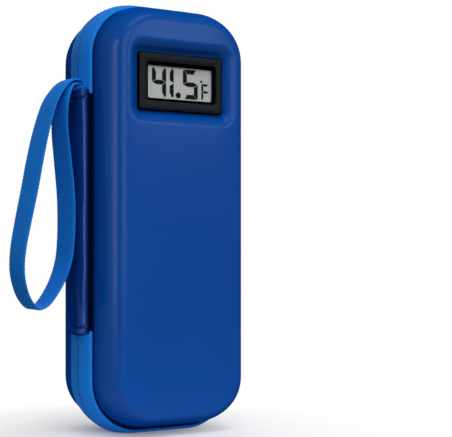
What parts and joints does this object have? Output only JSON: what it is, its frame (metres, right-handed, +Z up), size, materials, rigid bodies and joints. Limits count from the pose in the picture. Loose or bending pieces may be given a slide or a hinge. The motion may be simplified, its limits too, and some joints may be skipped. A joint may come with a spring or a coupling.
{
  "type": "insulin cooling case",
  "caption": "Hard-shell zipped case that keeps insulin pens cool, with a panel thermometer in its front, cold packs inside and a wrist strap on its spine.",
  "frame": {"origin": "middle of the flat strip of back zip tape that the case stands on", "axes": "+Z up along the case's length, -Y out of the thermometer's face, +X towards the zip sliders, away from the spine and its wrist strap"},
  "size_m": [0.1237, 0.0638, 0.2161],
  "materials": {
    "shell": "moulded foam with a smooth coated skin",
    "tape": "woven zip tape",
    "patch": "coated fabric",
    "webbing": "woven webbing",
    "coil": "moulded",
    "foil": "foil laminate",
    "binding": "woven tape",
    "mesh": "knitted",
    "elastic": "woven elastic",
    "bezel": "fine texture",
    "lens": "clear",
    "lcd": "polariser film",
    "zebra": "plain",
    "board": "solder mask",
    "steel": "plain",
    "pack": "film",
    "slider": "enamel"
  },
  "bodies": {
    "base": {"back_shell": "shell", "back_lining": "foil", "back_rim_binding": "binding", "back_zip_tape": "tape", "back_zip_coil": "coil", "back_cold_pack": "pack", "back_pocket": "mesh", "back_pocket_hem": "elastic", "lower_pen_band": "elastic", "upper_pen_band": "elastic"},
    "spine": {"spine_patch": "patch", "spine_lining": "foil", "strap_root": "webbing"},
    "lid": {"front_shell": "shell", "front_lining": "foil", "front_rim_binding": "binding", "front_zip_tape": "tape", "front_zip_coil": "coil", "front_cold_pack": "pack", "front_pocket": "mesh", "front_pocket_hem": "elastic", "display_bezel": "bezel", "display_lens": "lens", "lcd_panel": "lcd", "zebra_strip": "zebra", "circuit_board": "board", "thermistor": "bezel", "unit_switch": "bezel", "battery_cell_plus": "steel", "battery_contact_plus": "steel", "battery_cell_minus": "steel", "battery_contact_minus": "steel", "battery_link": "steel", "display_rear_housing": "bezel"},
    "strap": {"wrist_strap": "webbing"},
    "upper_zip": {"upper_slider": "slider"},
    "upper_tab": {"upper_pull": "slider"},
    "lower_zip": {"lower_slider": "slider"},
    "lower_tab": {"lower_pull": "slider"},
    "door": {"battery_door": "bezel"},
    "button": {"unit_button": "bezel"}
  },
  "joints": [
    {"name": "spine_fold", "type": "hinge", "parent": "base", "child": "spine", "pos_m": [-0.0414, 0.00613, 0.11], "axis": [0, 0, -1], "range_deg": [0, 90]},
    {"name": "lid_fold", "type": "hinge", "parent": "spine", "child": "lid", "pos_m": [-0.0414, -0.01267, 0.11], "axis": [0, 0, -1], "range_deg": [0, 90]},
    {"name": "strap_swing", "type": "hinge", "parent": "spine", "child": "strap", "pos_m": [-0.04845, -0.00327, 0.1762], "axis": [0, 1, 0], "range_deg": [0, 100], "deforming": ["strap_root"]},
    {"name": "upper_slide", "type": "slide", "parent": "base", "child": "upper_zip", "axis": [0, 0, 1], "range_m": [0, 0.045]},
    {"name": "lower_slide", "type": "slide", "parent": "base", "child": "lower_zip", "axis": [0, 0, -1], "range_m": [0, 0.045]},
    {"name": "upper_pull_swing", "type": "hinge", "parent": "upper_zip", "child": "upper_tab", "pos_m": [0.0461, -0.00327, 0.11275], "axis": [0, 1, 0], "range_deg": [0, 95]},
    {"name": "lower_pull_swing", "type": "hinge", "parent": "lower_zip", "child": "lower_tab", "pos_m": [0.0461, -0.00327, 0.10195], "axis": [0, -1, 0], "range_deg": [0, 95]},
    {"name": "battery_door_slide", "type": "slide", "parent": "lid", "child": "door", "axis": [1, 0, 0], "range_m": [0, 0.016]},
    {"name": "unit_press", "type": "slide", "parent": "lid", "child": "button", "axis": [0, -1, 0], "range_m": [0, 0.0005], "stiffness_N_per_m": 300, "springref_m": -0.003}
  ],
  "couplings": [
    {"joint": "lid_fold", "follows": "spine_fold", "ratio": 1}
  ]
}
